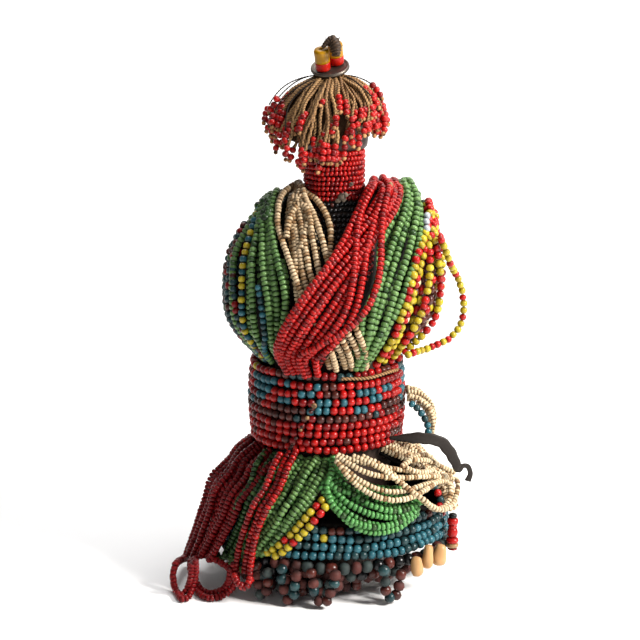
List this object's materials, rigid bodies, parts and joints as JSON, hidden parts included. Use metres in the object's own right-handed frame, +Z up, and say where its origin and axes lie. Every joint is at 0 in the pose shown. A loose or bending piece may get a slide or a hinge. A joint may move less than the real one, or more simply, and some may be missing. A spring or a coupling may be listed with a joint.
{
  "type": "namji doll",
  "caption": "Standing wooden doll wrapped in hanks, rows and loops of glass beads, with a mop of cord hair tipped with red beads.",
  "frame": {"origin": "centre of the flat underside of the wooden foot, on the surface the doll stands on", "axes": "+Z up the figure to its crown, +X to the doll's left hand, which is the right of the picture, and -Y to the front, where the picture was taken from"},
  "size_m": [0.1607, 0.1301, 0.2991],
  "materials": {
    "dark_wood": "worn, dark",
    "red_glass": "glossy, opaque",
    "green_glass": "glossy, opaque",
    "white_glass": "satin, opaque",
    "yellow_glass": "satin, opaque",
    "teal_glass": "satin, opaque",
    "dark_glass": "satin, opaque",
    "black_glass": "glossy, opaque",
    "twisted_fibre": "twisted plant fibre",
    "old_leather": "dry",
    "dark_metal": "dark, worn smooth",
    "tan_shell": "worn smooth"
  },
  "bodies": {
    "root": {"wooden_figure": "dark_wood", "red_neck_rows": "red_glass", "black_collar_rows": "black_glass", "mixed_belt_rows": "teal_glass", "red_belt_rows": "red_glass", "white_shoulder_strands": "white_glass", "left_green_strands": "green_glass", "left_mixed_strands": "dark_glass", "right_green_strands": "green_glass", "right_yellow_strands": "yellow_glass", "red_shoulder_strands": "red_glass", "red_skirt_strands": "red_glass", "green_skirt_strands": "green_glass", "green_skirt_swags": "green_glass", "white_skirt_swags": "white_glass", "red_front_strands": "red_glass", "white_side_strands": "white_glass", "mixed_back_strands": "dark_glass", "green_back_strands": "green_glass", "red_back_strands": "red_glass", "blue_skirt_rows": "teal_glass", "large_hem_beads": "dark_glass", "hem_loop_1": "dark_glass", "hem_loop_2": "dark_glass", "hem_loop_3": "dark_glass", "hem_loop_4": "dark_glass", "hem_loop_5": "dark_glass", "hem_loop_6": "dark_glass", "hair_cords": "twisted_fibre", "crown_disc": "dark_metal", "left_crown_bead": "yellow_glass", "right_crown_bead": "yellow_glass", "crown_fibre": "twisted_fibre", "white_side_loops": "white_glass", "mixed_side_strand": "yellow_glass", "loose_bead_loop": "yellow_glass", "leather_strap": "old_leather", "shell_pendant_1": "tan_shell", "shell_pendant_2": "tan_shell", "shell_pendant_3": "tan_shell", "red_pendant": "red_glass", "waist_cord": "twisted_fibre"}
  },
  "joints": []
}
